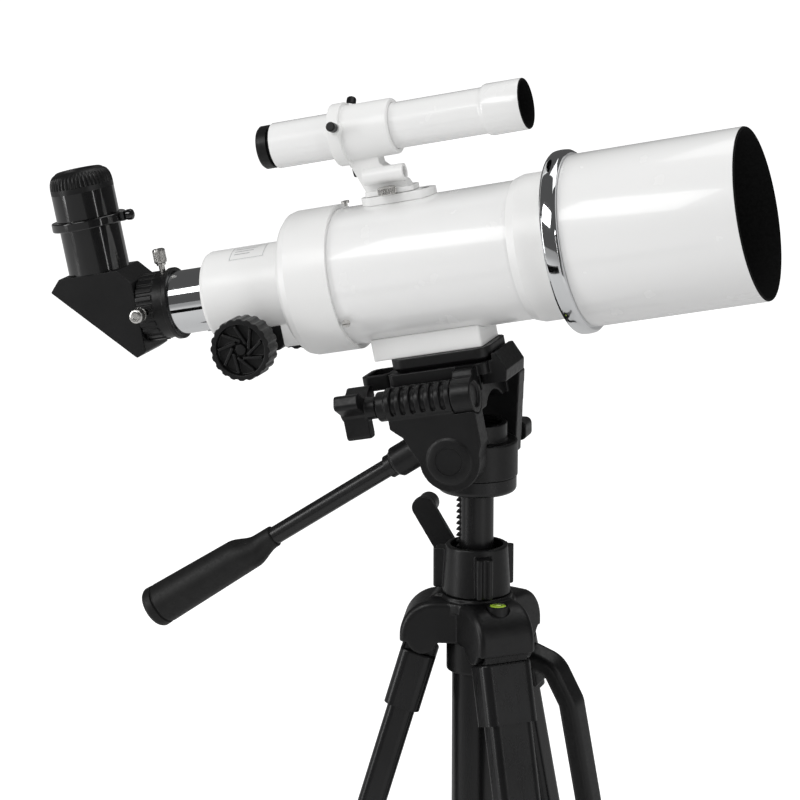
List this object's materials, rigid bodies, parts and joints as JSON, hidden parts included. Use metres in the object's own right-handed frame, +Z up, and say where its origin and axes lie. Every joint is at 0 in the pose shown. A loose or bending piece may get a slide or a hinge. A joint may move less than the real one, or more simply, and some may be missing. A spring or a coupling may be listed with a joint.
{
  "type": "telescope on tripod",
  "caption": "Short refractor telescope with finder scope, mirror diagonal and rack focuser on a pan and tilt head over a geared column camera tripod",
  "frame": {"origin": "on the floor under the column axis, with the three feet standing on Z = 0", "axes": "+Z up along the column; +X is the way the telescope points, level with the floor; +Y completes the right-handed set"},
  "size_m": [0.4467, 0.2861, 0.7562],
  "materials": {
    "white_enamel": "gloss enamel",
    "chrome": "polished",
    "steel": "satin nickel plate",
    "glass": "coated",
    "mirror": "silvered",
    "gloss_black": "gloss",
    "black_plastic": "fine texture",
    "black_rubber": "matte",
    "black_metal": "satin black",
    "level_fluid": "clear vial"
  },
  "bodies": {
    "tripod": {"spider": "black_plastic", "bubble_level": "level_fluid", "guide_tube": "black_metal"},
    "column_lift": {"column": "black_metal"},
    "collar": {"column_collar": "black_plastic"},
    "crank": {"crank_arm": "black_plastic"},
    "crank_grip": {"crank_knob": "black_plastic"},
    "pan": {"pan_housing": "black_plastic"},
    "tilt": {"tilt_yoke": "black_plastic"},
    "tilt_knob": {"tilt_lock_knob": "black_plastic"},
    "handle": {"handle_rod": "black_metal", "handle_grip": "black_rubber"},
    "side_knob": {"side_tilt_knob": "black_plastic"},
    "platform": {"platform": "black_plastic", "quick_release_plate": "black_plastic", "plate_screw": "steel", "foot_block": "white_enamel", "main_tube": "white_enamel", "lens_cell": "white_enamel", "front_lenses": "glass", "chrome_ring": "chrome", "dew_shield": "white_enamel", "rear_cell": "white_enamel", "body_screws": "steel", "focuser_housing": "white_enamel", "pinion_saddle": "black_plastic", "finder_base": "white_enamel", "finder_bracket": "white_enamel", "finder_screws": "black_plastic", "finder_tube": "white_enamel", "finder_eyepiece": "black_plastic"},
    "lever": {"release_lever": "black_plastic"},
    "finder_clamp": {"finder_clamp_screw": "steel"},
    "focus_tube": {"draw_tube": "chrome", "eyepiece_adapter": "black_plastic"},
    "thumb_top": {"adapter_thumbscrew_top": "steel"},
    "thumb_side": {"adapter_thumbscrew_side": "steel"},
    "focus_shaft": {"pinion_shaft": "steel", "focus_knobs": "black_plastic"},
    "diagonal": {"diagonal_housing": "black_plastic", "diagonal_mirror": "mirror", "eyepiece_holder": "gloss_black"},
    "thumb_holder": {"holder_thumbscrew": "black_plastic"},
    "eyepiece": {"eyepiece_body": "gloss_black", "eyepiece_crown": "black_rubber", "eyepiece_lens": "glass"},
    "leg_1": {"leg_upper_1": "black_metal"},
    "leg_1_lower": {"leg_lower_1": "black_metal", "foot_1": "black_rubber"},
    "leg_1_lock": {"lock_lever_1": "black_plastic"},
    "leg_2": {"leg_upper_2": "black_metal", "carry_handle": "black_plastic"},
    "leg_2_lower": {"leg_lower_2": "black_metal", "foot_2": "black_rubber"},
    "leg_2_lock": {"lock_lever_2": "black_plastic"},
    "leg_3": {"leg_upper_3": "black_metal"},
    "leg_3_lower": {"leg_lower_3": "black_metal", "foot_3": "black_rubber"},
    "leg_3_lock": {"lock_lever_3": "black_plastic"}
  },
  "joints": [
    {"name": "column_lift", "type": "slide", "parent": "tripod", "child": "column_lift", "axis": [0, 0, 1], "range_m": [-0.032, 0.18]},
    {"name": "collar_lock", "type": "hinge", "parent": "tripod", "child": "collar", "pos_m": [0, 0, 0.45982], "axis": [0, 0, 1], "range_deg": [-45, 45]},
    {"name": "crank_turn", "type": "hinge", "parent": "tripod", "child": "crank", "pos_m": [-0.0191, -0.00201, 0.43582], "axis": [-0.1045, 0.9945, 0], "range_deg": [-1295, 235]},
    {"name": "crank_grip_spin", "type": "hinge", "parent": "crank", "child": "crank_grip", "pos_m": [-0.0516, 0.06094, 0.47867], "axis": [-0.1045, 0.9945, 0], "continuous": true},
    {"name": "pan_turn", "type": "hinge", "parent": "column_lift", "child": "pan", "pos_m": [0, 0, 0.52482], "axis": [0, 0, 1], "continuous": true},
    {"name": "tilt_turn", "type": "hinge", "parent": "pan", "child": "tilt", "pos_m": [-0.00479, 0, 0.53537], "axis": [0, -1, 0], "range_deg": [-60, 35]},
    {"name": "tilt_knob_turn", "type": "hinge", "parent": "tilt", "child": "tilt_knob", "pos_m": [-0.00479, 0.045, 0.53537], "axis": [0, 1, 0], "range_deg": [-180, 180]},
    {"name": "handle_twist", "type": "hinge", "parent": "tilt", "child": "handle", "pos_m": [-0.0378, -0.03, 0.53142], "axis": [-0.832, 0, -0.5548], "range_deg": [-180, 180]},
    {"name": "side_knob_turn", "type": "hinge", "parent": "tilt", "child": "side_knob", "pos_m": [-0.05731, -0.034, 0.56166], "axis": [0.9792, 0, 0.2028], "range_deg": [-180, 180]},
    {"name": "side_tilt", "type": "hinge", "parent": "tilt", "child": "platform", "pos_m": [0.00242, -0.034, 0.57403], "axis": [0.9792, 0, 0.2028], "range_deg": [0, 90]},
    {"name": "lever_pull", "type": "slide", "parent": "platform", "child": "lever", "axis": [-0.9792, 0, -0.2028], "range_m": [0, 0.004], "stiffness_N_per_m": 300, "springref_m": -0.004},
    {"name": "finder_clamp_turn", "type": "hinge", "parent": "platform", "child": "finder_clamp", "pos_m": [-0.05233, -0.0122, 0.688], "axis": [-0.2028, 0, 0.9792], "range_deg": [-180, 180]},
    {"name": "focus_travel", "type": "slide", "parent": "platform", "child": "focus_tube", "axis": [-0.9792, 0, -0.2028], "range_m": [-0.02, 0.045]},
    {"name": "focus_turn", "type": "hinge", "parent": "platform", "child": "focus_shaft", "pos_m": [-0.12933, 0, 0.59628], "axis": [0, 1, 0], "range_deg": [-472, 212]},
    {"name": "thumb_top_turn", "type": "hinge", "parent": "focus_tube", "child": "thumb_top", "pos_m": [-0.20144, 0, 0.63874], "axis": [-0.2028, 0, 0.9792], "range_deg": [-180, 180]},
    {"name": "thumb_side_turn", "type": "hinge", "parent": "focus_tube", "child": "thumb_side", "pos_m": [-0.20319, -0.03, 0.60774], "axis": [0, -1, 0], "range_deg": [-180, 180]},
    {"name": "diagonal_turn", "type": "hinge", "parent": "focus_tube", "child": "diagonal", "pos_m": [-0.20955, 0, 0.60642], "axis": [0.9792, 0, 0.2028], "continuous": true},
    {"name": "thumb_holder_turn", "type": "hinge", "parent": "diagonal", "child": "thumb_holder", "pos_m": [-0.21932, 0, 0.66342], "axis": [0.9792, 0, 0.2028], "range_deg": [-180, 180]},
    {"name": "eyepiece_slide", "type": "slide", "parent": "diagonal", "child": "eyepiece", "axis": [-0.2028, 0, 0.9792], "range_m": [0, 0.03]},
    {"name": "leg_1_fold", "type": "hinge", "parent": "tripod", "child": "leg_1", "pos_m": [0.02074, -0.02304, 0.41982], "axis": [0.7431, 0.6691, 0], "range_deg": [0, 16.5]},
    {"name": "leg_1_extend", "type": "slide", "parent": "leg_1", "child": "leg_1_lower", "axis": [0.19, -0.2111, -0.9588], "range_m": [0, 0.26]},
    {"name": "leg_1_unlock", "type": "hinge", "parent": "leg_1", "child": "leg_1_lock", "pos_m": [0.10372, -0.1152, 0.05397], "axis": [-0.7431, -0.6691, 0], "range_deg": [0, 90]},
    {"name": "leg_2_fold", "type": "hinge", "parent": "tripod", "child": "leg_2", "pos_m": [0.00958, 0.02948, 0.41982], "axis": [-0.9511, 0.309, 0], "range_deg": [0, 16.5]},
    {"name": "leg_2_extend", "type": "slide", "parent": "leg_2", "child": "leg_2_lower", "axis": [0.0878, 0.2701, -0.9588], "range_m": [0, 0.26]},
    {"name": "leg_2_unlock", "type": "hinge", "parent": "leg_2", "child": "leg_2_lock", "pos_m": [0.0479, 0.14743, 0.05397], "axis": [0.9511, -0.309, 0], "range_deg": [0, 90]},
    {"name": "leg_3_fold", "type": "hinge", "parent": "tripod", "child": "leg_3", "pos_m": [-0.03032, -0.00645, 0.41982], "axis": [0.2079, -0.9781, 0], "range_deg": [0, 16.5]},
    {"name": "leg_3_extend", "type": "slide", "parent": "leg_3", "child": "leg_3_lower", "axis": [-0.2778, -0.059, -0.9588], "range_m": [0, 0.26]},
    {"name": "leg_3_unlock", "type": "hinge", "parent": "leg_3", "child": "leg_3_lock", "pos_m": [-0.15163, -0.03223, 0.05397], "axis": [-0.2079, 0.9781, 0], "range_deg": [0, 90]}
  ],
  "couplings": [
    {"joint": "crank_turn", "follows": "column_lift", "rad_per_m": -125},
    {"joint": "focus_turn", "follows": "focus_travel", "rad_per_m": -181.82}
  ]
}
